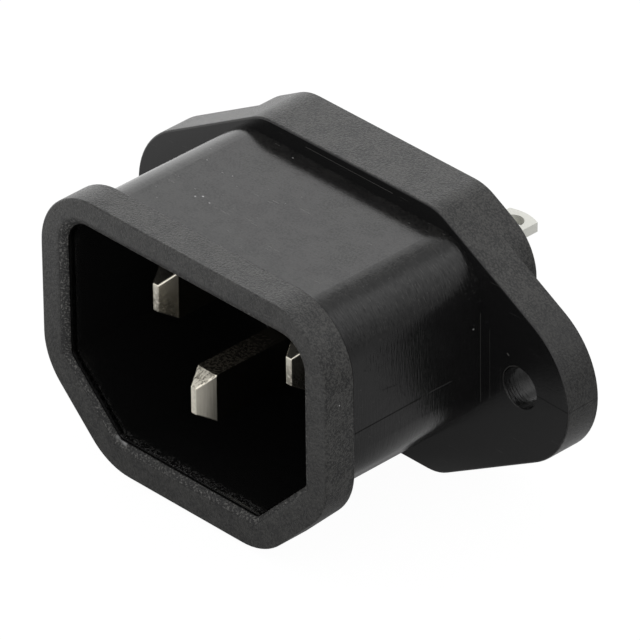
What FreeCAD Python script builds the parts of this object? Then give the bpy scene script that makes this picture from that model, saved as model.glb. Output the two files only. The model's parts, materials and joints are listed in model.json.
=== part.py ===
import FreeCAD, Part
import math
import os
import Sketcher

# A C14 mains inlet for fixing from behind a panel: one moulded housing and three contacts.
# X is its width as seen from the front, -Y is the side that the plug comes from and +Z is up,
# with the earth contact and the cut corners below. The origin is midway between the two
# screw holes, on the front face of the flange, which is the face that meets the panel.

os.makedirs("parts", exist_ok=True)
doc = FreeCAD.newDocument("PanelInlet")
sheet = doc.addObject("Spreadsheet::Sheet", "Dimensions")

# Driving dimensions in millimetres and degrees: alias, value, what it is.
dimensionRows = [
    ("rimWidth", 29.9, "rim, overall width"),
    ("rimRise", 11.1, "rim, centre line to its top or bottom edge"),
    ("rimCut", 6.65, "rim, leg of the 45 degree cut at each lower corner"),
    ("rimRound", 5.5, "rim, radius of every outer corner"),
    ("rimFront", 16.85, "front of the rim ahead of the flange face"),
    ("rimDepth", 2.9, "rim, front to back"),
    ("sleeveWidth", 27.3, "sleeve behind the rim, width"),
    ("sleeveRise", 10.0, "sleeve, centre line to its top or bottom"),
    ("sleeveCut", 6.65, "sleeve, leg of the cut at each lower corner"),
    ("sleeveRound", 4.0, "sleeve, radius of every outer corner"),
    ("cavityWidth", 24.6, "plug cavity, width"),
    ("cavityRoof", 8.55, "plug cavity, centre line up to its roof"),
    ("cavityDrop", 8.25, "plug cavity, centre line down to its floor"),
    ("cavityCut", 5.0, "plug cavity, leg of the cut at each lower corner"),
    ("cavityTopRound", 2.1, "plug cavity, radius of the upper corners"),
    ("cavityLowRound", 0.6, "plug cavity, radius of the lower corners"),
    ("cavityDepth", 17.0, "plug cavity, rim face to base"),
    ("mouthRound", 0.95, "rounded mouth of the plug cavity, radius"),
    ("flangeRise", 11.5, "flange, centre line to its top or bottom"),
    ("flangeDepth", 5.05, "flange, front face to back at its middle"),
    ("earDepth", 3.05, "flange, thickness of the two ears"),
    ("earCentre", 16.0, "centre of the round end of an ear"),
    ("earRound", 6.66, "radius of the round end of an ear"),
    ("earSlope", 29.5, "slope of the edges that run down to the ears, degrees"),
    ("shoulderRound", 4.0, "radius where the flat top meets the slope"),
    ("backWidth", 29.0, "thick middle of the flange, width"),
    ("backRound", 4.6, "thick middle of the flange, radius of its corners"),
    ("edgeRound", 0.16, "small radius on the moulded outer edges"),
    ("screwSpacing", 35.5, "screw hole to screw hole"),
    ("screwHole", 3.4, "screw hole, diameter"),
    ("pinSpacing", 14.0, "line contact to neutral contact"),
    ("pinRise", 2.4, "line and neutral contacts above the centre line"),
    ("earthDrop", 2.0, "earth contact below the centre line"),
    ("bladeWidth", 2.0, "blade, thickness across"),
    ("bladeTall", 4.0, "blade, height"),
    ("pinFront", 12.9, "line and neutral tips ahead of the flange face"),
    ("earthFront", 15.8, "earth tip ahead of the flange face"),
    ("bladeBack", 7.5, "end of the full blade behind the flange face"),
    ("bladeCorner", 2.3, "cut at the lower back corner of a blade"),
    ("tipLength", 1.4, "tapered tip, length"),
    ("tipWidth", 0.55, "tapered tip, width of its end face"),
    ("tipTall", 2.3, "tapered tip, height of its end face"),
    ("tipRound", 0.15, "tapered tip, radius on its edges"),
    ("tagWidth", 2.9, "solder tag, width"),
    ("tagThick", 0.8, "solder tag, thickness"),
    ("tagInset", 0.35, "solder tag, inside the outer face of its blade"),
    ("tagRoot", 1.5, "solder tag, length that lies along its blade"),
    ("tagShoulder", 11.95, "solder tag, end of its straight sides behind the flange face"),
    ("tagEndRadius", 3.6, "solder tag, radius of its slightly rounded end"),
    ("tagHole", 1.75, "solder tag, diameter of its wire hole"),
    ("tagHoleBack", 10.8, "solder tag, hole centre behind the flange face"),
]
for rowNumber, (alias, value, note) in enumerate(dimensionRows, start=1):
    sheet.set("A%d" % rowNumber, str(value))
    sheet.setAlias("A%d" % rowNumber, alias)
    sheet.set("B%d" % rowNumber, note)
doc.recompute()


def size(alias):
    """The value that the sheet holds under this name."""
    return float(sheet.get(alias))


def cell(text):
    """Write @name as a reference to the sheet's cell of that name."""
    return text.replace("@", "Dimensions.")


def newBody(label):
    body = doc.addObject("PartDesign::Body", label)
    body.Label = label
    body.Placement = FreeCAD.Placement()
    return body


def newSketch(body, name, role, height=None):
    """A sketch on one of the body's own origin planes, raised along its normal if asked."""
    plane = next(item for item in body.Origin.OriginFeatures if item.Role == role)
    sketch = body.newObject("Sketcher::SketchObject", name)
    sketch.AttachmentSupport = [(plane, "")]
    sketch.MapMode = "FlatFace"
    if height:
        sketch.setExpression(".AttachmentOffset.Base.z", cell(height))
    return sketch


def bind(sketch, name, constraint, expression):
    """Add a named constraint whose value comes from the sheet."""
    number = sketch.addConstraint(constraint)
    sketch.renameConstraint(number, name)
    sketch.setExpression("Constraints." + name, cell(expression))


def addLoop(sketch, points):
    """Straight lines from corner to corner, joined up all the way round."""
    first = sketch.GeometryCount
    count = len(points)
    for index in range(count):
        start = FreeCAD.Vector(*points[index], 0)
        end = FreeCAD.Vector(*points[(index + 1) % count], 0)
        sketch.addGeometry(Part.LineSegment(start, end))
    for index in range(count):
        following = first + (index + 1) % count
        sketch.addConstraint(Sketcher.Constraint("Coincident", first + index, 2, following, 1))
    return first


def sixSided(body, name, height, width, rise, drop, cut):
    """Outline with a flat top, upright sides and two cut lower corners.

    rise and drop are the distances from the centre line up to the top and down to the
    bottom, and cut is the leg of the 45 degree cut at each lower corner.
    """
    sketch = newSketch(body, name, "XZ_Plane", height)
    top = addLoop(sketch, [(-13, 10), (13, 10), (13, -4), (7, -10), (-7, -10), (-13, -4)])
    right, bottom, left = top + 1, top + 3, top + 5
    for item, other in ((top, top), (bottom, bottom)):
        sketch.addConstraint(Sketcher.Constraint("Symmetric", item, 1, other, 2, -2))
    sketch.addConstraint(Sketcher.Constraint("Symmetric", right, 2, left, 1, -2))
    sketch.addConstraint(Sketcher.Constraint("Vertical", right))
    bind(sketch, "width", Sketcher.Constraint("DistanceX", top, 1, top, 2, 26.0), width)
    bind(sketch, "flat", Sketcher.Constraint("DistanceX", bottom, 2, bottom, 1, 14.0),
         width + " - 2 * " + cut)
    bind(sketch, "above", Sketcher.Constraint("DistanceY", -1, 1, top, 2, 10.0), rise)
    bind(sketch, "below", Sketcher.Constraint("DistanceY", bottom, 1, -1, 1, 10.0), drop)
    bind(sketch, "side", Sketcher.Constraint("DistanceY", right, 2, -1, 1, 4.0), drop + " - " + cut)
    return sketch


def feature(body, kind, name, sketch, length, backwards=False, cut=False):
    """A pad or pocket of the sketch, with the volume compared so that it does its work."""
    before = 0 if body.Shape.isNull() else body.Shape.Volume
    item = body.newObject("PartDesign::" + kind, name)
    item.Profile = sketch
    item.Reversed = backwards
    item.setExpression("Length", cell(length))
    doc.recompute()
    if item.Shape.isNull():
        raise RuntimeError("%s has no shape: %s, %s" % (name, item.State, sketch.State))
    change = item.Shape.Volume - before
    if cut != (change < 0) or abs(change) < 1e-3:
        raise RuntimeError(name + " changed the volume by %.4f" % change)
    return item


def edgesWhere(shape, test):
    """Names of the edges whose end points and middle all pass the test."""
    names = []
    for number, edge in enumerate(shape.Edges, start=1):
        middle = edge.valueAt((edge.FirstParameter + edge.LastParameter) / 2)
        points = [vertex.Point for vertex in edge.Vertexes] + [middle]
        if all(test(point) for point in points):
            names.append("Edge%d" % number)
    return names


def dress(body, kind, name, base, edges, expression):
    """A fillet or chamfer on the named edges of the base feature."""
    if not edges:
        raise RuntimeError(name + " found no edges")
    item = body.newObject("PartDesign::" + kind, name)
    item.Base = (base, edges)
    item.setExpression("Radius" if kind == "Fillet" else "Size", cell(expression))
    doc.recompute()
    if "Invalid" in item.State or "Error" in item.State or not item.Shape.isValid():
        raise RuntimeError(name + " failed")
    return item


def near(value, target, within=0.02):
    return abs(value - target) < within


def lengthwise(shape, front, back, test=lambda x, z: True):
    """Edges that run along Y from front to back, at places that pass the test."""
    names = []
    for number, edge in enumerate(shape.Edges, start=1):
        if len(edge.Vertexes) != 2:
            continue
        ends = sorted((vertex.Point for vertex in edge.Vertexes), key=lambda point: point.y)
        if near(ends[0].y, front) and near(ends[1].y, back) and test(ends[0].x, ends[0].z):
            if near(edge.Length, back - front):
                names.append("Edge%d" % number)
    return names


def buildHousing():
    """One moulding: flange with two ears, sleeve, rim, plug cavity and the base behind it."""
    body = newBody("housing")
    front, depth, ear = -size("rimFront"), size("flangeDepth"), size("earDepth")
    rimBack = front + size("rimDepth")

    # The sleeve goes through the panel, and the rim stands round its front end.
    sketch = sixSided(body, "SleeveOutline", None, "@sleeveWidth", "@sleeveRise", "@sleeveRise",
                      "@sleeveCut")
    sleeve = feature(body, "Pad", "Sleeve", sketch, "@rimFront - @rimDepth / 2")
    corners = lengthwise(sleeve.Shape, rimBack - size("rimDepth") / 2, 0)
    sleeve = dress(body, "Fillet", "SleeveRound", sleeve, corners, "@sleeveRound")
    sketch = sixSided(body, "RimOutline", "@rimFront - @rimDepth", "@rimWidth", "@rimRise",
                      "@rimRise", "@rimCut")
    rim = feature(body, "Pad", "Rim", sketch, "@rimDepth")
    corners = lengthwise(rim.Shape, front, rimBack)
    rim = dress(body, "Fillet", "RimRound", rim, corners, "@rimRound")

    # Small radii where the tool leaves an outer edge.
    clear = 0.1
    across, rise = size("sleeveWidth") / 2 + clear, size("sleeveRise") + clear
    slant = across + rise - size("sleeveCut")

    def outside(point):
        """Clear of the sleeve's own outline."""
        return abs(point.z) > rise or abs(point.x) > across or abs(point.x) - point.z > slant

    edges = edgesWhere(rim.Shape, lambda point: near(point.y, front) or
                       (near(point.y, rimBack) and outside(point)))
    rim = dress(body, "Fillet", "RimEdges", rim, edges, "@edgeRound")

    # The flange's outline: two round ends, four slopes tangent to them, flat top and bottom.
    slope = math.radians(size("earSlope"))
    centre, radius, top = size("earCentre"), size("earRound"), size("flangeRise")
    shoulder = centre + (radius - top * math.cos(slope)) / math.sin(slope)
    touchX = centre + radius * math.sin(slope)
    touchZ = radius * math.cos(slope)
    outline = newSketch(body, "FlangeOutline", "XZ_Plane")
    corners = [
        ((-shoulder, top), (shoulder, top)),
        ((shoulder, top), (touchX, touchZ)),
        ((touchX, -touchZ), (shoulder, -top)),
        ((shoulder, -top), (-shoulder, -top)),
        ((-shoulder, -top), (-touchX, -touchZ)),
        ((-touchX, touchZ), (-shoulder, top)),
    ]
    for start, end in corners:
        outline.addGeometry(Part.LineSegment(FreeCAD.Vector(*start, 0), FreeCAD.Vector(*end, 0)))
    upper, downRight, upRight, lower, downLeft, upLeft = range(6)
    turn = math.pi / 2 - slope
    for middle, begin in ((centre, -turn), (-centre, math.pi - turn)):
        circle = Part.Circle(FreeCAD.Vector(middle, 0, 0), FreeCAD.Vector(0, 0, 1), radius)
        outline.addGeometry(Part.ArcOfCircle(circle, begin, begin + 2 * turn))
    rightEnd, leftEnd = 6, 7
    joins = [
        ("Coincident", upper, 2, downRight, 1),
        ("Coincident", upRight, 2, lower, 1),
        ("Coincident", lower, 2, downLeft, 1),
        ("Coincident", upLeft, 2, upper, 1),
        ("Tangent", downRight, 2, rightEnd, 2),
        ("Tangent", rightEnd, 1, upRight, 1),
        ("Tangent", downLeft, 2, leftEnd, 2),
        ("Tangent", leftEnd, 1, upLeft, 1),
        ("Symmetric", rightEnd, 3, leftEnd, 3, -1, 1),
        ("PointOnObject", rightEnd, 3, -1),
        ("Equal", rightEnd, leftEnd),
        ("Symmetric", upper, 1, upper, 2, -2),
        ("Symmetric", lower, 1, lower, 2, -2),
        ("Symmetric", upper, 2, lower, 1, -1),
    ]
    for join in joins:
        outline.addConstraint(Sketcher.Constraint(*join))
    bind(outline, "spread", Sketcher.Constraint("DistanceX", leftEnd, 3, rightEnd, 3, 2 * centre),
         "2 * @earCentre")
    bind(outline, "endRadius", Sketcher.Constraint("Radius", rightEnd, radius), "@earRound")
    bind(outline, "above", Sketcher.Constraint("DistanceY", -1, 1, upper, 2, top), "@flangeRise")
    bind(outline, "flatTop", Sketcher.Constraint("DistanceX", upper, 1, upper, 2, 2 * shoulder),
         "2 * (@earCentre + (@earRound - @flangeRise * cos(@earSlope * 1 deg))"
         " / sin(@earSlope * 1 deg))")
    flange = feature(body, "Pad", "Flange", outline, "@flangeDepth", backwards=True)
    shoulders = lengthwise(flange.Shape, 0, depth, lambda x, z: near(abs(z), top))
    flange = dress(body, "Fillet", "ShoulderRound", flange, shoulders, "@shoulderRound")

    # Behind the ears the flange is cut back, which leaves the thick middle.
    sketch = newSketch(body, "EarBacks", "XZ_Plane", "-@flangeDepth")
    half, tall = size("backWidth") / 2, 2 * top
    for side in (-1, 1):
        inner, outer = side * half, side * 2 * half
        block = addLoop(sketch, [(inner, tall), (outer, tall), (outer, -tall), (inner, -tall)])
        for line in (block, block + 2):
            sketch.addConstraint(Sketcher.Constraint("Horizontal", line))
        sketch.addConstraint(Sketcher.Constraint("Vertical", block + 1))
        sketch.addConstraint(Sketcher.Constraint("Symmetric", block, 1, block + 3, 1, -1))
        pair = (-1, 1, block, 1) if side > 0 else (block, 1, -1, 1)
        name = "right" if side > 0 else "left"
        bind(sketch, name + "Inner", Sketcher.Constraint("DistanceX", *pair, half), "@backWidth / 2")
        pair = (block, 1, block, 2) if side > 0 else (block, 2, block, 1)
        bind(sketch, name + "Across", Sketcher.Constraint("DistanceX", *pair, half), "@backWidth / 2")
        upright = Sketcher.Constraint("DistanceY", block + 1, 2, block + 1, 1, 2 * tall)
        bind(sketch, name + "Tall", upright, "4 * @flangeRise")
    pocket = feature(body, "Pocket", "EarBackCut", sketch, "@flangeDepth - @earDepth",
                     backwards=True, cut=True)
    corners = lengthwise(pocket.Shape, ear, depth, lambda x, z: near(abs(x), half))
    flange = dress(body, "Fillet", "BackRound", pocket, corners, "@backRound")

    edges = edgesWhere(flange.Shape, lambda point: near(point.y, depth) or
                       (near(point.y, 0) and outside(point)))
    dress(body, "Fillet", "FlangeEdges", flange, edges, "@edgeRound")

    # The plug cavity, its rounded mouth, the slots for the contacts and the screw holes.
    sketch = sixSided(body, "CavityOutline", "@rimFront", "@cavityWidth", "@cavityRoof",
                      "@cavityDrop", "@cavityCut")
    cavity = feature(body, "Pocket", "Cavity", sketch, "@cavityDepth", cut=True)
    floor = front + size("cavityDepth")
    upper = lengthwise(cavity.Shape, front, floor, lambda x, z: z > 0)
    cavity = dress(body, "Fillet", "CavityTopRound", cavity, upper, "@cavityTopRound")
    lower = lengthwise(cavity.Shape, front, floor,
                       lambda x, z: near(z, -size("cavityDrop")) or
                       near(z, size("cavityCut") - size("cavityDrop")))
    cavity = dress(body, "Fillet", "CavityLowRound", cavity, lower, "@cavityLowRound")
    wide, high = size("cavityWidth") / 2 + clear, size("cavityRoof") + clear
    mouth = edgesWhere(cavity.Shape, lambda point: near(point.y, front) and
                       abs(point.x) < wide and abs(point.z) < high)
    dress(body, "Fillet", "MouthRound", cavity, mouth, "@mouthRound")

    sketch = newSketch(body, "ContactSlots", "XZ_Plane")
    for name, x, z, across, height, reach in contacts:
        bladeOutline(sketch, name.split("_")[0], x, z, across, height)
    feature(body, "Pocket", "ContactSlotCut", sketch, "@flangeDepth + 1", cut=True)

    sketch = newSketch(body, "ScrewHoles", "XZ_Plane")
    spacing, hole = size("screwSpacing"), size("screwHole")
    for side in (-1, 1):
        middle = FreeCAD.Vector(side * spacing / 2, 0, 0)
        sketch.addGeometry(Part.Circle(middle, FreeCAD.Vector(0, 0, 1), hole / 2))
    sketch.addConstraint(Sketcher.Constraint("Equal", 0, 1))
    sketch.addConstraint(Sketcher.Constraint("Symmetric", 0, 3, 1, 3, -1, 1))
    sketch.addConstraint(Sketcher.Constraint("PointOnObject", 0, 3, -1))
    bind(sketch, "hole", Sketcher.Constraint("Diameter", 0, hole), "@screwHole")
    bind(sketch, "spacing", Sketcher.Constraint("DistanceX", 0, 3, 1, 3, spacing), "@screwSpacing")
    feature(body, "Pocket", "ScrewHoleCut", sketch, "@earDepth + 1", cut=True)
    return body


def bladeOutline(sketch, name, x, z, across, height, width="@bladeWidth", rise="@bladeTall"):
    """A blade's section as a rectangle centred at its contact's place."""
    wide, tall = size(width.strip("@")) / 2, size(rise.strip("@")) / 2
    first = addLoop(sketch, [(x - wide, z + tall), (x + wide, z + tall),
                             (x + wide, z - tall), (x - wide, z - tall)])
    centre = sketch.addGeometry(Part.Point(FreeCAD.Vector(x, z, 0)))
    for line, kind in enumerate(("Horizontal", "Vertical", "Horizontal", "Vertical")):
        sketch.addConstraint(Sketcher.Constraint(kind, first + line))
    sketch.addConstraint(Sketcher.Constraint("Symmetric", first, 1, first + 2, 1, centre, 1))
    bind(sketch, name + "Wide", Sketcher.Constraint("DistanceX", first, 1, first, 2, 2 * wide),
         width)
    bind(sketch, name + "Tall", Sketcher.Constraint("DistanceY", first + 1, 2, first + 1, 1, 2 * tall),
         rise)
    if across is None:
        sketch.addConstraint(Sketcher.Constraint("PointOnObject", centre, 1, -2))
    else:
        pair = (-1, 1, centre, 1) if x > 0 else (centre, 1, -1, 1)
        bind(sketch, name + "Across", Sketcher.Constraint("DistanceX", *pair, abs(x)), across)
    pair = (-1, 1, centre, 1) if z > 0 else (centre, 1, -1, 1)
    bind(sketch, name + "Height", Sketcher.Constraint("DistanceY", *pair, abs(z)), height)


def buildContact(label, x, z, across, height, front):
    """A blade with a tapered tip, and a solder tag turned over inwards from its top edge."""
    body = newBody(label)
    reach = front + " - @tipLength"
    sketch = newSketch(body, "BladeOutline", "XZ_Plane", reach)
    bladeOutline(sketch, "blade", x, z, across, height)
    blade = feature(body, "Pad", "Blade", sketch, reach + " + @bladeBack", backwards=True)

    # The tip: the blade's section narrows to a small flat end, with slightly rounded edges.
    end = newSketch(body, "TipEnd", "XZ_Plane", front)
    bladeOutline(end, "tip", x, z, across, height, "@tipWidth", "@tipTall")
    tip = body.newObject("PartDesign::AdditiveLoft", "Tip")
    tip.Profile = sketch
    tip.Sections = [end]
    tip.Ruled = True
    doc.recompute()
    start = size("tipLength") - size(front.strip("@"))
    ahead = edgesWhere(tip.Shape, lambda point: point.y < start or near(point.y, start))
    foot = edgesWhere(tip.Shape, lambda point: near(point.y, start))
    edges = [name for name in ahead if name not in foot]
    tip = dress(body, "Fillet", "TipRound", tip, edges, "@tipRound")

    # Behind the housing the blade's lower corner is cut off.
    low = z - size("bladeTall") / 2
    corner = edgesWhere(tip.Shape, lambda point: near(point.y, size("bladeBack")) and
                        near(point.z, low))
    dress(body, "Chamfer", "BackCorner", tip, corner, "@bladeCorner")

    # The tag lies level, flush with the blade's top edge.
    top = height + " + @bladeTall / 2" if z > 0 else "@bladeTall / 2 - " + height
    sketch = newSketch(body, "TagOutline", "XY_Plane", top)
    tagOutline(sketch, x, across)
    feature(body, "Pad", "Tag", sketch, "@tagThick", backwards=True)
    return body


def tagOutline(sketch, x, across):
    """Two sides, a root inside the blade, a slightly rounded end and the wire hole."""
    inwards = -1 if x >= 0 else 1
    outer = x - inwards * (size("bladeWidth") / 2 - size("tagInset"))
    inner = outer + inwards * size("tagWidth")
    left, right = sorted((inner, outer))
    middle, radius = (left + right) / 2, size("tagEndRadius")
    root, shoulder = size("bladeBack") - size("tagRoot"), size("tagShoulder")
    end = shoulder + radius - math.sqrt(radius ** 2 - (right - left) ** 2 / 4)
    holeAt, hole = size("tagHoleBack"), size("tagHole")
    vector = FreeCAD.Vector
    sketch.addGeometry(Part.LineSegment(vector(right, root, 0), vector(right, shoulder, 0)))
    sketch.addGeometry(Part.Arc(vector(right, shoulder, 0), vector(middle, end, 0),
                                vector(left, shoulder, 0)))
    sketch.addGeometry(Part.LineSegment(vector(left, shoulder, 0), vector(left, root, 0)))
    sketch.addGeometry(Part.LineSegment(vector(left, root, 0), vector(right, root, 0)))
    sketch.addGeometry(Part.Circle(vector(middle, holeAt, 0), vector(0, 0, 1), hole / 2))
    sketch.addGeometry(Part.Point(vector(middle, shoulder, 0)))
    rightSide, arc, leftSide, back, wireHole, midpoint = range(6)
    for line, other in ((rightSide, arc), (arc, leftSide), (leftSide, back), (back, rightSide)):
        sketch.addConstraint(Sketcher.Constraint("Coincident", line, 2, other, 1))
    sketch.addConstraint(Sketcher.Constraint("Vertical", rightSide))
    sketch.addConstraint(Sketcher.Constraint("Vertical", leftSide))
    sketch.addConstraint(Sketcher.Constraint("Horizontal", back))
    sketch.addConstraint(Sketcher.Constraint("Equal", rightSide, leftSide))
    sketch.addConstraint(Sketcher.Constraint("Symmetric", rightSide, 2, leftSide, 1, midpoint, 1))
    sketch.addConstraint(Sketcher.Constraint("Vertical", wireHole, 3, midpoint, 1))
    bind(sketch, "root", Sketcher.Constraint("DistanceY", -1, 1, back, 1, root),
         "@bladeBack - @tagRoot")
    bind(sketch, "sides", Sketcher.Constraint("DistanceY", -1, 1, leftSide, 1, shoulder),
         "@tagShoulder")
    bind(sketch, "endRadius", Sketcher.Constraint("Radius", arc, radius), "@tagEndRadius")
    bind(sketch, "holeBack", Sketcher.Constraint("DistanceY", -1, 1, wireHole, 3, holeAt),
         "@tagHoleBack")
    bind(sketch, "holeSize", Sketcher.Constraint("Diameter", wireHole, hole), "@tagHole")
    bind(sketch, "width", Sketcher.Constraint("DistanceX", back, 1, back, 2, right - left), "@tagWidth")
    reach = "@bladeWidth / 2 - @tagInset" + (" + " + across if across else "")
    ends = (-1, 1, rightSide, 1) if inwards < 0 else (leftSide, 2, -1, 1)
    bind(sketch, "place", Sketcher.Constraint("DistanceX", *ends, abs(outer)), reach)


# Each contact: label, place across and up, the cells that hold them, and its reach.
side, high, low = size("pinSpacing") / 2, size("pinRise"), -size("earthDrop")
contacts = [
    ("line_pin", side, high, "@pinSpacing / 2", "@pinRise", "@pinFront"),
    ("neutral_pin", -side, high, "@pinSpacing / 2", "@pinRise", "@pinFront"),
    ("earth_pin", 0, low, None, "@earthDrop", "@earthFront"),
]
bodies = [buildHousing()]
for contact in contacts:
    bodies.append(buildContact(*contact))
doc.recompute()
for item in doc.Objects:
    if "Invalid" in item.State or "Error" in item.State:
        raise RuntimeError(item.Name + " is " + str(item.State))
for body in bodies:
    shape = body.Shape
    if shape.isNull() or not shape.isValid():
        raise RuntimeError(body.Label + " has no valid shape")
    print(body.Label, "volume", round(shape.Volume, 2), "box", shape.BoundBox)
    shape.exportStep("parts/" + body.Label + ".step")
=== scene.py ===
import json
import math
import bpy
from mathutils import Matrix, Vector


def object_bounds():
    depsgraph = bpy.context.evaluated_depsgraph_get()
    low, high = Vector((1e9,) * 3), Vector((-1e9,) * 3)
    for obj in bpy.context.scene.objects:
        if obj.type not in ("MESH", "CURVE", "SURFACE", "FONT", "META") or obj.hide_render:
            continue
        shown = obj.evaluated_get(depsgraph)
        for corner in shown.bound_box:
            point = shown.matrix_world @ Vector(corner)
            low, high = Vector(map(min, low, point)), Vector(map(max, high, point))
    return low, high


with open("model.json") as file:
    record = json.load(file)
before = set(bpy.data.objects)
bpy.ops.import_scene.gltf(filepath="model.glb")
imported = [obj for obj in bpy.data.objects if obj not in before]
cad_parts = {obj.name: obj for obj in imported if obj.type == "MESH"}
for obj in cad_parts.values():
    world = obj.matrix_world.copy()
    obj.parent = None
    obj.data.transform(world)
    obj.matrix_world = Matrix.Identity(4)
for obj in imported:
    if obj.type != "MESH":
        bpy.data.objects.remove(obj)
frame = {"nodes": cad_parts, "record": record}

from types import SimpleNamespace
import bpy
from mathutils import Matrix, Vector

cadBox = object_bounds()
scene = bpy.context.scene
mm = 0.001
front = cadBox[0][1] / mm  # the rim's front face, in millimetres
screws = next(mount["dims"] for mount in frame["record"]["mounts"] if mount["name"] == "screw_holes")


def addCamera():
    # a long lens that looks down on the front right corner of the inlet; degrees and metres
    setup = {
        "azimuth": 46.237, "elevation": 32.611, "roll": -0.632,
        "distance": 723.83 * mm, "aim": (4.226 * mm, -7.024 * mm, 2.907 * mm),
        "lens": 560.32, "sensor": 36.0, "nearest": 0.05,
    }
    azimuth, elevation = math.radians(setup["azimuth"]), math.radians(setup["elevation"])
    back = Vector((math.sin(azimuth) * math.cos(elevation),
                   -math.cos(azimuth) * math.cos(elevation), math.sin(elevation)))
    right = Vector((0, 0, 1)).cross(back).normalized()
    up = back.cross(right)
    turn = math.radians(setup["roll"])
    right, up = (right * math.cos(turn) + up * math.sin(turn),
                 up * math.cos(turn) - right * math.sin(turn))
    data = bpy.data.cameras.new("camera")
    data.lens = setup["lens"]
    data.sensor_width = setup["sensor"]
    data.clip_start = setup["nearest"]
    camera = bpy.data.objects.new("camera", data)
    place = Matrix((right, up, back)).transposed().to_4x4()
    place.translation = Vector(setup["aim"]) + back * setup["distance"]
    camera.matrix_world = place
    scene.collection.objects.link(camera)
    scene.camera = camera


class Wiring:
    # short calls for the nodes of one material or group
    def __init__(self, tree):
        self.nodes = tree.nodes
        self.links = tree.links

    def feed(self, value, socket):
        if isinstance(value, bpy.types.NodeSocket):
            self.links.new(value, socket)
        else:
            socket.default_value = value

    def math(self, operation, first, second=0.0, third=None, clamp=False):
        node = self.nodes.new("ShaderNodeMath")
        node.operation = operation
        node.use_clamp = clamp
        self.feed(first, node.inputs[0])
        self.feed(second, node.inputs[1])
        if third is not None:
            self.feed(third, node.inputs[2])
        return node.outputs[0]

    def chain(self, operation, first, others):
        for other in others:
            first = self.math(operation, first, other)
        return first

    def times(self, first, *others):
        return self.chain("MULTIPLY", first, others)

    def plus(self, first, *others):
        return self.chain("ADD", first, others)

    def most(self, first, *others):
        return self.chain("MAXIMUM", first, others)

    def minus(self, first, second):
        return self.math("SUBTRACT", first, second)

    def other(self, mask):
        # all that a mask leaves out
        return self.math("SUBTRACT", 1.0, mask)

    def size(self, value):
        return self.math("ABSOLUTE", value)

    def vector(self, operation, first, second=None, scale=None):
        node = self.nodes.new("ShaderNodeVectorMath")
        node.operation = operation
        self.feed(first, node.inputs[0])
        if second is not None:
            self.feed(second, node.inputs[1])
        if scale is not None:
            self.feed(scale, node.inputs["Scale"])
        return node.outputs["Value" if operation in ("DOT_PRODUCT", "LENGTH") else "Vector"]

    def distance(self, place, centre):
        return self.vector("LENGTH", self.vector("SUBTRACT", place, centre))

    def split(self, vector):
        node = self.nodes.new("ShaderNodeSeparateXYZ")
        self.feed(vector, node.inputs[0])
        return node.outputs

    def ramp(self, value, low, high, toLow=0.0, toHigh=1.0):
        # goes smoothly from toLow to toHigh while value goes from low to high
        node = self.nodes.new("ShaderNodeMapRange")
        node.interpolation_type = "SMOOTHSTEP"
        self.feed(value, node.inputs["Value"])
        for name, number in (("From Min", low), ("From Max", high),
                             ("To Min", toLow), ("To Max", toHigh)):
            self.feed(number, node.inputs[name])
        return node.outputs["Result"]

    def step(self, value, at, width):
        # past the place it is 1, or before it where the width is negative
        return self.ramp(value, at - width, at + width)

    def noise(self, vector, scale, detail, roughness, distortion=0.0):
        node = self.nodes.new("ShaderNodeTexNoise")
        self.feed(vector, node.inputs["Vector"])
        self.feed(scale, node.inputs["Scale"])
        node.inputs["Detail"].default_value = detail
        node.inputs["Roughness"].default_value = roughness
        node.inputs["Distortion"].default_value = distortion
        return node.outputs["Fac"]

    def stretch(self, vector, scale, turn=(0, 0, 0)):
        node = self.nodes.new("ShaderNodeMapping")
        self.feed(vector, node.inputs["Vector"])
        node.inputs["Rotation"].default_value = turn
        node.inputs["Scale"].default_value = scale
        return node.outputs["Vector"]

    def drawn(self, place, perMm, detail, roughness):
        # noise with a fineness of its own along each axis
        return self.noise(self.stretch(place, perMm), 1.0, detail, roughness)

    def blend(self, factor, first, second):
        node = self.nodes.new("ShaderNodeMix")
        node.data_type = "RGBA"
        self.feed(factor, node.inputs[0])
        self.feed(first, node.inputs[6])
        self.feed(second, node.inputs[7])
        return node.outputs[2]

    def bump(self, height):
        # height is in metres
        node = self.nodes.new("ShaderNodeBump")
        node.inputs["Strength"].default_value = 1.0
        node.inputs["Distance"].default_value = 1.0
        self.feed(height, node.inputs["Height"])
        return node.outputs["Normal"]

    def group(self, tree, values):
        node = self.nodes.new("ShaderNodeGroup")
        node.node_tree = tree
        for name, value in values.items():
            self.feed(value, node.inputs[name])
        return node.outputs


def newGroup(name, takes, gives):
    tree = bpy.data.node_groups.new(name, "ShaderNodeTree")
    for label, kind in takes:
        tree.interface.new_socket(label, in_out="INPUT", socket_type="NodeSocket" + kind)
    for label, kind in gives:
        tree.interface.new_socket(label, in_out="OUTPUT", socket_type="NodeSocket" + kind)
    entry = tree.nodes.new("NodeGroupInput")
    leave = tree.nodes.new("NodeGroupOutput")
    return tree, Wiring(tree), entry.outputs, leave.inputs


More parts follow.
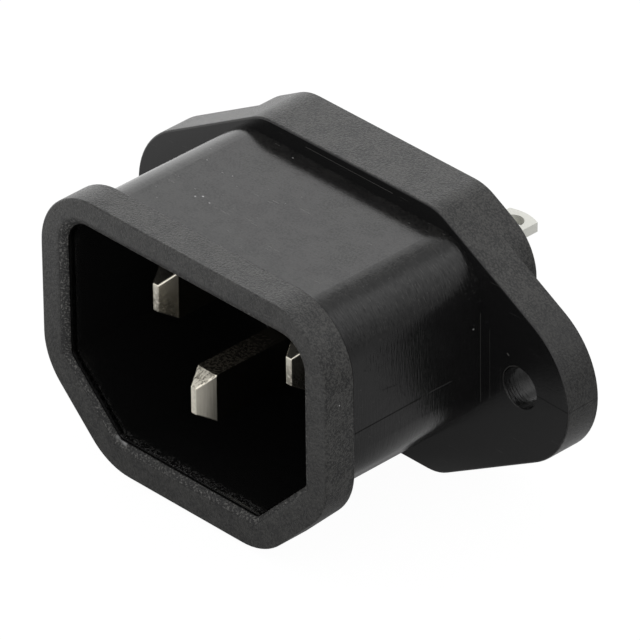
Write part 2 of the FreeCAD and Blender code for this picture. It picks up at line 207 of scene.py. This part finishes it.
def grainGroup():
    # a spark-eroded skin: fine grain on a coarser mottle
    look = {"detail": 3.0, "roughness": 0.6, "coarser": 0.12, "fineShare": 0.7, "coarseShare": 0.3,
            "fineTone": (0.34, 0.70, 0.0, 0.75), "coarseTone": (0.35, 0.65, 0.0, 0.25)}
    tree, wires, take, give = newGroup(
        "sparkGrain", [("Place", "Vector"), ("Fineness", "Float")],
        [("Height", "Float"), ("Mottle", "Float")])
    fine = wires.noise(take["Place"], take["Fineness"], look["detail"], look["roughness"])
    coarse = wires.noise(take["Place"], wires.times(take["Fineness"], look["coarser"]),
                         look["detail"], look["roughness"])
    height = wires.plus(wires.times(fine, look["fineShare"]), wires.times(coarse, look["coarseShare"]))
    mottle = wires.plus(wires.ramp(fine, *look["fineTone"]), wires.ramp(coarse, *look["coarseTone"]))
    wires.links.new(height, give["Height"])
    wires.links.new(mottle, give["Mottle"])
    return tree


def scuffGroup():
    # hairline marks: noise drawn out along one direction, of which only the crests show
    look = {"detail": 2.0, "roughness": 0.5, "waver": 0.1, "edge": 0.08}
    tree, wires, take, give = newGroup(
        "hairlines", [("Place", "Vector"), ("Crest", "Float")], [("Mask", "Float")])
    line = wires.noise(take["Place"], 1.0, look["detail"], look["roughness"], look["waver"])
    full = wires.plus(take["Crest"], look["edge"])
    wires.links.new(wires.ramp(line, take["Crest"], full), give["Mask"])
    return tree


def speckGroup():
    # scattered specks of dust: the middles of a few cells
    solidCore = 0.5
    tree, wires, take, give = newGroup(
        "dustSpecks", [("Place", "Vector"), ("Spacing", "Float"), ("Radius", "Float"),
                       ("Share", "Float")], [("Mask", "Float")])
    cells = wires.nodes.new("ShaderNodeTexVoronoi")
    wires.links.new(take["Place"], cells.inputs["Vector"])
    wires.links.new(wires.math("DIVIDE", 1.0, take["Spacing"]), cells.inputs["Scale"])
    reach = wires.math("DIVIDE", take["Radius"], take["Spacing"])
    spot = wires.ramp(cells.outputs["Distance"], reach, wires.times(reach, solidCore))
    chosen = wires.nodes.new("ShaderNodeSeparateColor")
    wires.links.new(cells.outputs["Color"], chosen.inputs["Color"])
    picked = wires.math("LESS_THAN", chosen.outputs["Red"], take["Share"])
    wires.links.new(wires.times(spot, picked), give["Mask"])
    return tree


def scratchGroup():
    # one straight mark: how near a point is to the line from Start to End
    tree, wires, take, give = newGroup(
        "placedScratch", [("Place", "Vector"), ("Start", "Vector"), ("End", "Vector"),
                          ("Width", "Float")], [("Mask", "Float")])
    away = wires.vector("SUBTRACT", take["Place"], take["Start"])
    whole = wires.vector("SUBTRACT", take["End"], take["Start"])
    share = wires.math("DIVIDE", wires.vector("DOT_PRODUCT", away, whole),
                       wires.vector("DOT_PRODUCT", whole, whole), clamp=True)
    foot = wires.vector("SCALE", whole, scale=share)
    wires.links.new(wires.ramp(wires.distance(away, foot), take["Width"], 0.0), give["Mask"])
    return tree


def newMaterial(name):
    # a new material, its shader, and a point's place on the object in millimetres
    material = bpy.data.materials.new(name)
    material.use_nodes = True
    wires = Wiring(material.node_tree)
    place = wires.nodes.new("ShaderNodeTexCoord")
    scaled = wires.vector("SCALE", place.outputs["Object"], scale=1 / mm)
    return material, wires, wires.nodes["Principled BSDF"], scaled


def readSurface(wires, place):
    # where a point is and which way it faces
    x, y, z = wires.split(place)
    geometry = wires.nodes.new("ShaderNodeNewGeometry")
    facingX, facingY, facingZ = wires.split(geometry.outputs["Normal"])
    return SimpleNamespace(place=place, x=x, y=y, z=z, across=wires.size(x),
                           facingX=facingX, facingY=facingY, facingZ=facingZ)


def scratches(wires, group, place, marks):
    # the strongest of several placed marks; each is start, end, width and strength
    total = 0.0
    for start, end, width, strength in marks:
        mark = wires.group(group, {"Place": place, "Start": start, "End": end, "Width": width})
        total = wires.most(total, wires.times(mark["Mask"], strength))
    return total


# the black moulding, in millimetres, with the depths of its relief in metres. A pair is where
# a finish starts and where it is full, and two more numbers are its strength at each; a name
# with Share is a strength or a pair of them. Noise is fineness, detail and roughness. A mark
# is start, end, width and strength
moulding = {
    "black": (0.0055, 0.0055, 0.0056, 1), "grey": (0.046, 0.045, 0.042, 1),
    # scuff is also the colour of painted highlights, and dark that of painted shade
    "scuff": (0.17, 0.166, 0.157, 1), "dust": (0.55, 0.55, 0.55, 1), "dark": (0, 0, 0, 1),
    # roughness, and what scuffing adds to it
    "smooth": 0.17, "sparked": 0.34, "lip": 0.42, "scuffed": 0.3,
    # within the shell's wall: at the sides, above and below, at the cut and the round corners
    "wallX": 13.3, "wallZ": 9.5, "wallCut": 16.3, "wallRound": 20.8, "wallEdge": 0.1,
    "rimBack": front + 2.9, "mouthBack": front + 0.95, "toolLine": front + 0.475,
    "flangeBack": 5.05, "screw": screws["spacing_x_mm"] / 2, "screwHole": screws["hole_r_mm"],
    "edge": 0.05, "lipEdge": 0.03, "flangeFront": (0.0, 0.06), "holeFront": (0.0, 0.05),
    "flangeEnd": (0.1, 0.0),  # past flangeBack
    "holeWall": (0.12, 0.02),  # outside screwHole
    # how squarely a face looks towards the plug, roughly that way, or up
    "plugward": (-0.95, -0.985), "forward": (-0.6, -0.9), "upward": (0.9, 0.99),
    # spark grain, blotchier on the edges than on the rim's front, polished at the ears' ends
    "grainPerMm": 6.2, "grainDepth": 0.10 * mm, "middleTone": 0.4,
    "blotchy": (-0.7, -0.95, 1.9, 1.0), "polished": (21.0, 15.5, 0.55, 1.0),
    # a thin film on the sleeve's top
    "filmShare": 0.40, "filmGaps": (0.45, 0.1, 0.0, 0.5),
    # streaks round the sleeve and down the flange's face
    "around": ((1.8, 11.0, 1.8), 3.0, 0.7), "sidewise": (0.15, 0.5),
    "squareSide": (0.94, 1.0, 1.0, 0.08), "paleStreak": (0.5, 0.75, 0.0, 0.6),
    "darkStreak": (0.5, 0.3, 0.0, 0.40), "streakDepth": 0.020 * mm,
    "ribs": ((0.9, 7.5, 0.9), 2.0, 0.6), "ribbed": (0.05, 0.45, 0.3, 1.0),
    "down": ((9.0, 0.3, 0.5), 2.0, 0.6), "downShare": 0.35, "grainShare": 0.5,
    # a few hairlines
    "hairStretch": (0.5, 3.2, 9.0), "hairTurn": (0, 0.5, 0.9), "hairCrest": 0.68, "hairShare": 0.16,
    # the torn lip and the mouth behind it
    "torn": (6.0, 3.0, 0.7), "crests": (0.48, 0.68), "crestShare": 0.9, "lipDepth": 0.12 * mm,
    # painted shade on the line where the core shut off, stronger on the floor
    "toolLineWidth": (0.12, 0.05), "floor": (0.74, 0.84), "toolLineShare": (0.15, 0.9),
    # pale patches on the floor just inside the mouth: partly scuffs, partly painted light
    "slideReach": (0.7, -0.5),  # past mouthBack
    "slidePatches": (0.50, 0.66), "slideShare": (0.3, 1.0), "slidePale": 0.55,
    # painted shade in the band behind that line, weaker on the floor
    "bandDark": 0.85, "bandFloor": 0.6,
    # painted shade along the sharp edge at the rim's back, from rimBack
    "backward": (0.05, 0.3), "backFrom": (-0.25, -0.1), "backTo": (0.1, 0.05), "backDark": 0.8,
    # loose dust, and crumbs that gather on the sleeve's top by the flange and to the left
    "speckSpacing": 2.1, "speckRadius": 0.10, "speckChance": 0.16, "speckShare": 0.6,
    "crumbStretch": (0.6, 1.0, 1.0), "crumbSpacing": 0.62, "crumbRadius": 0.075, "crumbChance": 0.3,
    "crumbDepth": (-7.0, -1.5, 0.12, 0.65), "crumbSide": (4.0, -7.0, 0.12, 1.0),
    # a painted highlight on the front edge of a screw hole, outside screwHole and on the sleeve's side
    # of screw
    "wornShare": 0.22, "wornFace": (-0.9, -0.98), "wornFrom": 0.05, "wornWidth": (0.05, 0.01),
    "wornSide": (0.3, -0.6),
    "lightMarks": [
        # the first two are painted highlights along the sleeve's junction with the flange; the rest
        # are light marks and a nick
        ((-4.4, 0.0, 10.85), (4.65, 0.0, 10.85), 0.045, 0.45),
        ((13.70, 0.0, 4.6), (13.70, 0.0, -3.0), 0.06, 0.22),
        ((14.64, 0.0, 3.6), (14.66, 0.0, -2.3), 0.05, 0.14),
        ((15.75, 0.0, 0.9), (15.76, 0.0, -1.9), 0.05, 0.08),
        ((13.65, -5.2, 0.1), (13.65, -2.9, 0.05), 0.035, 0.30),
        ((16.45, 0.0, 2.4), (16.6, 0.0, 2.3), 0.07, 0.7),
    ],
    "darkMarks": [
        ((13.65, -12.7, 0.0), (13.65, -6.1, 0.05), 0.10, 0.85),
        ((13.65, -9.9, 2.5), (13.65, -8.4, 2.3), 0.07, 0.6),
        ((19.55, 0.0, 0.12), (22.66, 0.0, 0.05), 0.07, 0.7),
        ((22.66, 0.0, 0.05), (22.66, 3.05, 0.05), 0.06, 0.6),
        ((5.65, -14.1, 11.1), (5.85, -14.1, 11.1), 0.10, 0.8),
        ((13.65, -11.7, 4.95), (13.65, -11.6, 4.95), 0.09, 0.6),
        ((-1.65, 4.8, 11.5), (-1.5, 4.8, 11.5), 0.09, 0.7),
    ],
    "dustMarks": [
        ((-5.8, -9.1, 10.0), (-5.75, -9.1, 10.0), 0.11, 1.0),
        ((-6.2, -9.5, 10.0), (-6.15, -9.5, 10.0), 0.09, 0.8),
        ((-4.8, -9.4, 10.0), (-4.75, -9.4, 10.0), 0.08, 0.7),
        ((-3.2, -13.5, 10.0), (-3.15, -13.5, 10.0), 0.10, 0.9),
        ((14.86, 2.5, 7.61), (14.90, 2.5, 7.59), 0.11, 1.0),
        ((13.65, -0.7, 3.5), (13.65, -0.65, 3.5), 0.08, 0.8),
        ((13.65, -3.1, -2.45), (13.65, -3.05, -2.45), 0.08, 0.8),
        ((-7.5, -16.55, -8.25), (-6.6, -16.55, -8.5), 0.24, 0.5),
    ],
}


def mouldingZones(wires, at):
    # masks for the inside and outside of the shell and for each kind of moulded skin, and how
    # far a point is from the middle of a screw hole
    look = moulding
    edge = look["wallEdge"]
    outside = wires.most(wires.step(at.across, look["wallX"], edge),
                         wires.step(wires.size(at.z), look["wallZ"], edge),
                         wires.step(wires.minus(at.across, at.z), look["wallCut"], edge),
                         wires.step(wires.plus(at.across, at.z), look["wallRound"], edge),
                         wires.ramp(at.facingY, *look["plugward"]))
    inside = wires.other(outside)
    lip = wires.times(inside, wires.step(at.y, look["toolLine"], -look["lipEdge"]))
    cavity = wires.times(inside, wires.other(lip))
    sideways = wires.minus(at.across, look["screw"])
    fromScrew = wires.math("SQRT", wires.math("MULTIPLY_ADD", at.z, at.z,
                                              wires.times(sideways, sideways)))
    near, far = look["holeWall"]
    hole = wires.times(wires.ramp(fromScrew, look["screwHole"] + near, look["screwHole"] + far),
                       wires.ramp(at.y, *look["holeFront"]))
    forward = wires.ramp(at.facingY, *look["forward"])
    # where the tool was spark eroded: the rim, its lip and the flange's outer edges
    rimSkin = wires.times(wires.step(at.y, look["rimBack"], -look["edge"]), wires.other(cavity))
    start, end = look["flangeEnd"]
    flangeSkin = wires.times(wires.ramp(at.y, *look["flangeFront"]),
                             wires.ramp(at.y, look["flangeBack"] + start, look["flangeBack"] + end),
                             wires.other(forward), wires.other(hole))
    sparked = wires.most(rimSkin, flangeSkin)
    plain = wires.times(wires.other(sparked), wires.other(inside))
    return SimpleNamespace(inside=inside, outside=outside, lip=lip, cavity=cavity, sparked=sparked,
                           plain=plain, forward=forward, fromScrew=fromScrew)


def mouldingStreaks(wires, at, zone, grain, film):
    # fine streaks as pale and dark tones and as relief, with the dark gaps in the film
    look = moulding
    around = wires.drawn(at.place, *look["around"])
    spun = wires.times(wires.ramp(at.facingX, *look["sidewise"]),
                       wires.ramp(at.facingX, *look["squareSide"]), zone.plain)
    pale = wires.times(spun, wires.ramp(around, *look["paleStreak"]))
    dark = wires.most(wires.times(spun, wires.ramp(around, *look["darkStreak"])),
                      wires.times(film, wires.ramp(grain["Mottle"], *look["filmGaps"])))
    ribs = wires.times(wires.drawn(at.place, *look["ribs"]), wires.other(zone.forward),
                       wires.ramp(at.facingX, *look["ribbed"]))
    down = wires.times(wires.drawn(at.place, *look["down"]), zone.forward, look["downShare"])
    relief = wires.plus(ribs, down, wires.times(grain["Height"], look["grainShare"]))
    return pale, dark, wires.times(relief, zone.plain, look["streakDepth"])


def mouldingMouth(wires, at, zone):
    # rough lip: torn, with light crests; painted shade on the line where the core shut off, then a
    # band of painted shade up to mouthBack, weaker on the cavity's floor, where pale patches are
    # partly scuffs and partly painted light
    look = moulding
    torn = wires.noise(at.place, *look["torn"])
    crests = wires.times(wires.ramp(torn, *look["crests"]), zone.lip)
    floor = wires.ramp(at.facingZ, *look["floor"])
    # painted shade: a dark line along the core's shut-off line
    toolLine = wires.times(wires.ramp(wires.size(wires.minus(at.y, look["toolLine"])),
                                      *look["toolLineWidth"]),
                           zone.inside, wires.ramp(floor, 0.0, 1.0, *look["toolLineShare"]))
    start, end = look["slideReach"]
    # pale patches fading deeper in: partly scuffs where plugs slide in, partly painted light falling
    # in through the mouth
    scuffAndLight = wires.times(zone.cavity, wires.ramp(floor, 0.0, 1.0, *look["slideShare"]),
                        wires.ramp(at.y, look["mouthBack"] + start, look["mouthBack"] + end),
                        wires.ramp(torn, *look["slidePatches"]))
    # painted shade: a band from the shut-off line up to mouthBack
    shadeBand = wires.times(zone.cavity, wires.step(at.y, look["mouthBack"], -look["edge"]),
                       wires.minus(look["bandDark"], wires.times(floor, look["bandFloor"])))
    pale = wires.most(wires.times(crests, look["crestShare"]), wires.times(scuffAndLight, look["slidePale"]))
    relief = wires.times(torn, wires.most(zone.lip, scuffAndLight), look["lipDepth"])
    return pale, wires.most(shadeBand, toolLine), relief


def mouldingDust(wires, groups, at, zone):
    look = moulding
    specks = wires.group(groups["speck"], {
        "Place": at.place, "Spacing": look["speckSpacing"], "Radius": look["speckRadius"],
        "Share": look["speckChance"]})
    crumbs = wires.group(groups["speck"], {
        "Place": wires.stretch(at.place, look["crumbStretch"]), "Spacing": look["crumbSpacing"],
        "Radius": look["crumbRadius"], "Share": look["crumbChance"]})
    loose = wires.times(specks["Mask"], zone.outside, look["speckShare"])
    gathered = wires.times(crumbs["Mask"], wires.ramp(at.y, *look["crumbDepth"]),
                           wires.ramp(at.x, *look["crumbSide"]), zone.plain,
                           wires.ramp(at.facingZ, *look["upward"]))
    return wires.most(loose, gathered,
                      scratches(wires, groups["scratch"], at.place, look["dustMarks"]))


def mouldingMarks(wires, groups, at, zone):
    # light scratches and hairlines, painted highlights at the screw holes and the sleeve's junction,
    # and dark scratches
    look = moulding
    hairs = wires.group(groups["scuff"], {
        "Place": wires.stretch(at.place, look["hairStretch"], look["hairTurn"]),
        "Crest": look["hairCrest"]})
    hairs = wires.times(hairs["Mask"], zone.outside, look["hairShare"])
    fromEdge = wires.size(wires.minus(zone.fromScrew, look["screwHole"] + look["wornFrom"]))
    start, end = look["wornSide"]
    # painted highlight: a thin light ring round the front edge of each screw hole
    worn = wires.times(wires.ramp(at.facingY, *look["wornFace"]), look["wornShare"],
                       wires.ramp(fromEdge, *look["wornWidth"]),
                       wires.ramp(at.across, look["screw"] + start, look["screw"] + end))
    light = wires.most(hairs, worn,
                       scratches(wires, groups["scratch"], at.place, look["lightMarks"]))
    return light, scratches(wires, groups["scratch"], at.place, look["darkMarks"])


def rimBackShade(wires, at):
    # painted shade: a dark line round the rim's back edge, which also hides the edge's highlight
    look = moulding
    back = look["rimBack"]
    rising, falling = look["backFrom"], look["backTo"]
    return wires.times(wires.ramp(at.facingY, *look["backward"]),
                       wires.ramp(at.y, back + rising[0], back + rising[1]),
                       wires.ramp(at.y, back + falling[0], back + falling[1]), look["backDark"])


def mouldingMaterial(groups):
    look = moulding
    material, wires, shader, place = newMaterial("blackMoulding")
    at = readSurface(wires, place)
    zone = mouldingZones(wires, at)
    grain = wires.group(groups["grain"], {"Place": place, "Fineness": look["grainPerMm"]})
    skin = wires.times(zone.sparked, wires.other(zone.lip))
    film = wires.times(zone.plain, look["filmShare"], wires.ramp(at.facingZ, *look["upward"]))
    paleStreaks, darkStreaks, streakRelief = mouldingStreaks(wires, at, zone, grain, film)
    mouthPaleAndLight, mouthShade, mouthRelief = mouldingMouth(wires, at, zone)
    lightMarks, darkMarks = mouldingMarks(wires, groups, at, zone)

    mottle = wires.math("MULTIPLY_ADD", wires.minus(grain["Mottle"], look["middleTone"]),
                        wires.ramp(at.facingY, *look["blotchy"]), look["middleTone"], clamp=True)
    mottle = wires.times(mottle, wires.plus(skin, film), wires.ramp(at.across, *look["polished"]))
    pale = wires.most(mouthPaleAndLight, lightMarks)
    # painted shade in the mouth and round the rim's back, with dark marks and streaks, goes black and
    # metallic
    shadeAndDarkMarks = wires.most(mouthShade, rimBackShade(wires, at), darkMarks, darkStreaks)

    colour = wires.blend(wires.plus(mottle, paleStreaks), look["black"], look["grey"])
    colour = wires.blend(pale, colour, look["scuff"])
    colour = wires.blend(mouldingDust(wires, groups, at, zone), colour, look["dust"])
    colour = wires.blend(shadeAndDarkMarks, colour, look["dark"])
    rough = wires.plus(wires.ramp(zone.sparked, 0.0, 1.0, look["smooth"], look["sparked"]),
                       wires.times(zone.lip, look["lip"] - look["sparked"]),
                       wires.times(pale, look["scuffed"]))
    relief = wires.plus(wires.times(grain["Height"], skin, look["grainDepth"]),
                        streakRelief, mouthRelief)
    wires.links.new(colour, shader.inputs["Base Color"])
    wires.links.new(shadeAndDarkMarks, shader.inputs["Metallic"])
    wires.links.new(rough, shader.inputs["Roughness"])
    wires.links.new(wires.bump(relief), shader.inputs["Normal"])
    return material


# the plated contacts, in the moulding's terms
contact = {
    "plate": (0.93, 0.88, 0.76, 1), "dull": (0.50, 0.465, 0.39, 1),
    # tarnish also darkens the flat sides as painted shade
    "tarnish": (0.20, 0.19, 0.16, 1), "oxide": (0.06, 0.054, 0.043, 1),
    # the near black here and the dark brown above are painted shade on the contacts' tops, darkest
    # deep in the cavity
    "soot": (0.012, 0.011, 0.009, 1), "tin": (0.82, 0.82, 0.76, 1),
    # roughness, and what dull patches and the earth contact's face add to it
    "plateRough": 0.21, "tinRough": 0.45, "dullRough": 0.08, "faceRough": 0.24,
    # how metallic the tinned tag is, and how much less the tops with painted shade and the tips' faces
    # are
    "tinMetal": 0.18, "topLoss": 0.9, "faceLoss": 0.5,
    "tagFrom": 7.6, "tagEdge": 0.1,
    # drawn lines along the metal, and clouds in the plating
    "brushed": ((7.0, 7.0, 0.8), 3.0, 0.6), "brushDepth": 0.0015 * mm,
    "brushTone": (0.4, 0.7, 0.0, 0.06), "cloud": (0.9, 2.0, 0.5), "cloudTone": (0.35, 0.7, 0.0, 0.15),
    # painted shade: the flat sides are darkened towards the tarnish colour
    "flatSide": (0.95, 0.99), "flatShare": 0.6,
    # the lower ends of the two upper tips are rubbed dull
    "rubbedBelow": (3.9, 1.3), "rubbedTip": (-11.4, -11.9), "rubbedSides": (5.0, 6.0),
    "rubbedNoise": (3.5, 3.0, 0.6), "rubbedPatches": (0.3, 0.6), "rubbedShare": 0.8,
    # the earth contact's tip is worn towards one side and its bevel is filed; the tops get painted
    # shade
    "middle": (3.0, 2.5), "tipFace": (-0.85, -0.95), "wornSide": (-1.2, 1.8),
    "wornNoise": (2.6, 3.0, 0.65), "wornPatches": (0.42, 0.58, 0.15, 1.0), "wornShare": 0.65,
    "bevelFrom": (0.25, 0.4), "bevelTo": (0.97, 0.9),
    "fileStretch": (7.0, 2.0, 2.0), "fileTurn": (0, 0, 0.6), "fileCrest": 0.5,
    "topFace": (0.9, 0.98), "topBefore": (1.0, 0.0), "topFade": (-3.0, -14.0, 0.05, 1.0),
    "topNoise": (3.2, 4.0, 0.7), "topPatches": (0.42, 0.6, 0.1, 1.0),
    "scratchDepth": 0.05 * mm,
    "tipMarks": [
        ((-0.9, -14.5, -0.15), (-0.3, -15.3, -0.6), 0.05, 0.8),
        ((-0.2, -14.6, -0.2), (0.3, -15.2, -0.6), 0.04, 0.6),
        ((0.5, -14.5, -0.1), (-0.1, -15.5, -0.7), 0.04, 0.7),
        ((0.2, -15.6, -1.3), (0.32, -15.6, -1.5), 0.06, 1.0),
    ],
}


def contactTips(wires, groups, at):
    # masks for rubbed and worn metal, for scratches, and for the tips' faces: all, the earth's
    look = contact
    rubbed = wires.times(wires.ramp(at.z, *look["rubbedBelow"]), wires.ramp(at.y, *look["rubbedTip"]),
                         wires.ramp(at.across, *look["rubbedSides"]),
                         wires.ramp(wires.noise(at.place, *look["rubbedNoise"]),
                                    *look["rubbedPatches"]))
    middle = wires.ramp(at.across, *look["middle"])
    face = wires.ramp(at.facingY, *look["tipFace"])
    worn = wires.times(middle, face, wires.ramp(at.x, *look["wornSide"]),
                       wires.ramp(wires.noise(at.place, *look["wornNoise"]), *look["wornPatches"]))
    bevel = wires.times(middle, wires.ramp(at.facingZ, *look["bevelFrom"]),
                        wires.ramp(at.facingZ, *look["bevelTo"]))
    filed = wires.group(groups["scuff"], {
        "Place": wires.stretch(at.place, look["fileStretch"], look["fileTurn"]),
        "Crest": look["fileCrest"]})
    scratched = wires.most(scratches(wires, groups["scratch"], at.place, look["tipMarks"]),
                           wires.times(filed["Mask"], bevel))
    return rubbed, worn, scratched, face, wires.times(middle, face)


def contactMaterial(groups):
    look = contact
    material, wires, shader, place = newMaterial("platedContact")
    at = readSurface(wires, place)
    brushed = wires.drawn(place, *look["brushed"])
    rubbed, worn, scratched, face, earthFace = contactTips(wires, groups, at)
    cloudy = wires.plus(wires.ramp(wires.noise(place, *look["cloud"]), *look["cloudTone"]),
                        wires.ramp(brushed, *look["brushTone"]))
    dull = wires.most(cloudy, wires.most(scratched, rubbed))
    # painted shade on the contacts' up-facing tops in the cavity, darkest deep inside, with little
    # metal
    shadedTop = wires.times(wires.ramp(at.facingZ, *look["topFace"]), wires.ramp(at.y, *look["topBefore"]))
    topShadePatches = wires.times(wires.ramp(at.y, *look["topFade"]),
                         wires.ramp(wires.noise(place, *look["topNoise"]), *look["topPatches"]))
    shadedSides = wires.ramp(wires.size(at.facingX), *look["flatSide"])
    tag = wires.step(at.y, look["tagFrom"], look["tagEdge"])

    colour = wires.blend(dull, look["plate"], look["dull"])
    # painted shade on the flat sides
    colour = wires.blend(wires.times(shadedSides, look["flatShare"]), colour, look["tarnish"])
    tarnished = wires.most(rubbed, wires.times(worn, look["wornShare"]))
    colour = wires.blend(wires.times(tarnished, look["rubbedShare"]), colour, look["tarnish"])
    colour = wires.blend(shadedTop, colour, wires.blend(topShadePatches, look["soot"], look["oxide"]))
    colour = wires.blend(tag, colour, look["tin"])
    metal = wires.minus(wires.other(wires.times(shadedTop, look["topLoss"])),
                        wires.times(face, look["faceLoss"]))
    rough = wires.plus(wires.ramp(tag, 0.0, 1.0, look["plateRough"], look["tinRough"]),
                       wires.times(dull, look["dullRough"]),
                       wires.times(earthFace, look["faceRough"]))
    relief = wires.minus(wires.times(brushed, look["brushDepth"]),
                         wires.times(scratched, look["scratchDepth"]))
    wires.links.new(colour, shader.inputs["Base Color"])
    wires.links.new(wires.ramp(tag, 0.0, 1.0, metal, look["tinMetal"]), shader.inputs["Metallic"])
    wires.links.new(rough, shader.inputs["Roughness"])
    wires.links.new(wires.bump(relief), shader.inputs["Normal"])
    return material


def dressNodes():
    groups = {"grain": grainGroup(), "scuff": scuffGroup(), "speck": speckGroup(),
              "scratch": scratchGroup()}
    plated = contactMaterial(groups)
    finishes = {"housing": mouldingMaterial(groups),
                "line_pin": plated, "neutral_pin": plated, "earth_pin": plated}
    for name, material in finishes.items():
        for slot in frame["nodes"][name].material_slots:
            slot.material = material


def paperMaterial(paper):
    # the camera sees the paper white but for a faint shadow; gloss sees it white where it
    # lies open, with painted shade near the object and off behind it to the right, and a patch of
    # painted light round one place by the right ear; gloss also sees the paper's own grey darker, as
    # painted shade
    material, wires, shader, place = newMaterial("floorPaper")
    seen = wires.nodes.new("ShaderNodeLightPath").outputs
    direct = wires.most(seen["Is Camera Ray"], seen["Is Transmission Ray"])
    tone = wires.minus(wires.ramp(direct, 0.0, 1.0, paper["grey"], paper["keep"]),
                       wires.times(seen["Is Glossy Ray"], paper["grey"] - paper["mirrored"]))
    reach = wires.distance(place, paper["shade"])
    away = wires.times(wires.ramp(reach, *paper["shadeReach"]),
                       wires.ramp(wires.vector("DOT_PRODUCT", place, paper["behind"]),
                                  *paper["dimReach"]))
    away = wires.ramp(away, 0.0, 1.0, paper["near"], paper["far"])
    below = wires.vector("MULTIPLY", wires.vector("SUBTRACT", place, paper["under"]), (1, 1, 0))
    away = wires.plus(away, wires.ramp(wires.vector("LENGTH", below), *paper["underReach"],
                                       0.0, paper["lift"]))
    glow = wires.math("ADD", wires.times(direct, paper["white"]),
                      wires.times(seen["Is Glossy Ray"], away), clamp=True)
    shader.inputs["Roughness"].default_value = paper["roughness"]
    shader.inputs["Specular IOR Level"].default_value = 0.0
    shader.inputs["Emission Strength"].default_value = 1.0
    wires.links.new(wires.blend(tone, *paper["tones"]), shader.inputs["Base Color"])
    wires.links.new(wires.blend(glow, *paper["tones"]), shader.inputs["Emission Color"])
    return material


def addStage():
    # pale paper: its width in metres and other lengths in millimetres; a reach is where a
    # change starts and where it is full
    paper = {
        "width": 3.0, "roughness": 0.9, "tones": ((0, 0, 0, 1), (1, 1, 1, 1)),
        # for gloss: a darker grey, painted shade near the object and behind it to the right, and
        # painted light round under
        "grey": 0.8, "white": 0.97, "keep": 0.06, "mirrored": 0.20, "near": 0.20, "far": 1.0,
        "shade": (5.0, -10.0, 0.0), "shadeReach": (15.0, 90.0),
        "behind": (0.81, 0.58, 0.0), "dimReach": (60.0, 10.0),
        "under": (15.0, 6.0, 0.0), "underReach": (12.0, 4.0), "lift": 0.3,
    }
    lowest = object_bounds()[0][2]
    corner = paper["width"] / 2
    mesh = bpy.data.meshes.new("floor")
    mesh.from_pydata([(-corner, -corner, lowest), (corner, -corner, lowest),
                      (corner, corner, lowest), (-corner, corner, lowest)], [], [(0, 1, 2, 3)])
    floor = bpy.data.objects.new("floor", mesh)
    scene.collection.objects.link(floor)
    floor.data.materials.append(paperMaterial(paper))


def addTent():
    # a white tent; gloss also sees two soft boxes through its cloth and the dimmer
    # stretches beside them: direction, full within, gone beyond (degrees), brightness
    tent = {"fill": 0.8, "seen": 1.0, "cloth": [
        ((-0.80, 0.51, 0.30), 16.0, 34.0, 0.5),
        ((-0.19, 0.58, 0.79), 6.0, 24.0, -0.32),
        ((0.30, 0.58, 0.76), 2.0, 18.0, 0.3),
        ((0.81, 0.58, 0.0), 2.0, 44.0, -0.58),
        ((-0.60, -0.45, 0.65), 10.0, 50.0, -0.4),
    ]}
    world = bpy.data.worlds.new("studio")
    scene.world = world
    world.use_nodes = True
    wires = Wiring(world.node_tree)
    shown = wires.nodes["Background"]
    seen = wires.nodes.new("ShaderNodeLightPath").outputs
    heading = wires.nodes.new("ShaderNodeTexCoord").outputs["Generated"]
    mirrored = tent["seen"]
    for towards, inner, outer, change in tent["cloth"]:
        aim = Vector(towards).normalized()
        angle = wires.math("ARCCOSINE", wires.vector("DOT_PRODUCT", heading, aim))
        patch = wires.ramp(angle, math.radians(outer), math.radians(inner), 0.0, change)
        mirrored = wires.plus(mirrored, patch)
    direct = wires.most(seen["Is Camera Ray"], seen["Is Transmission Ray"])
    level = wires.ramp(direct, 0.0, 1.0, tent["fill"], tent["seen"])
    swap = wires.times(seen["Is Glossy Ray"], wires.minus(mirrored, level))
    shown.inputs["Color"].default_value = (1, 1, 1, 1)
    wires.links.new(wires.plus(level, swap), shown.inputs["Strength"])


def addLamp():
    # one soft box from the left, a little behind, in metres; gloss sees the tent instead of it
    box = {"wide": 1.2, "tall": 1.0, "brightness": 0.45, "place": (-0.69, 0.21, 0.34)}
    data = bpy.data.lights.new("softBox", "AREA")
    data.shape = "RECTANGLE"
    data.size = box["wide"]
    data.size_y = box["tall"]
    data.energy = box["brightness"] * math.pi * box["wide"] * box["tall"]
    lamp = bpy.data.objects.new("softBox", data)
    lamp.location = box["place"]
    lamp.rotation_euler = (-lamp.location).to_track_quat("-Z", "Y").to_euler()
    lamp.visible_glossy = False
    scene.collection.objects.link(lamp)


addCamera()
print("camera placed")
dressNodes()
print("finishes on the pieces")
addStage()
print("paper laid")
addTent()
addLamp()
print("tent and lamp")
scene.view_settings.view_transform = "Standard"
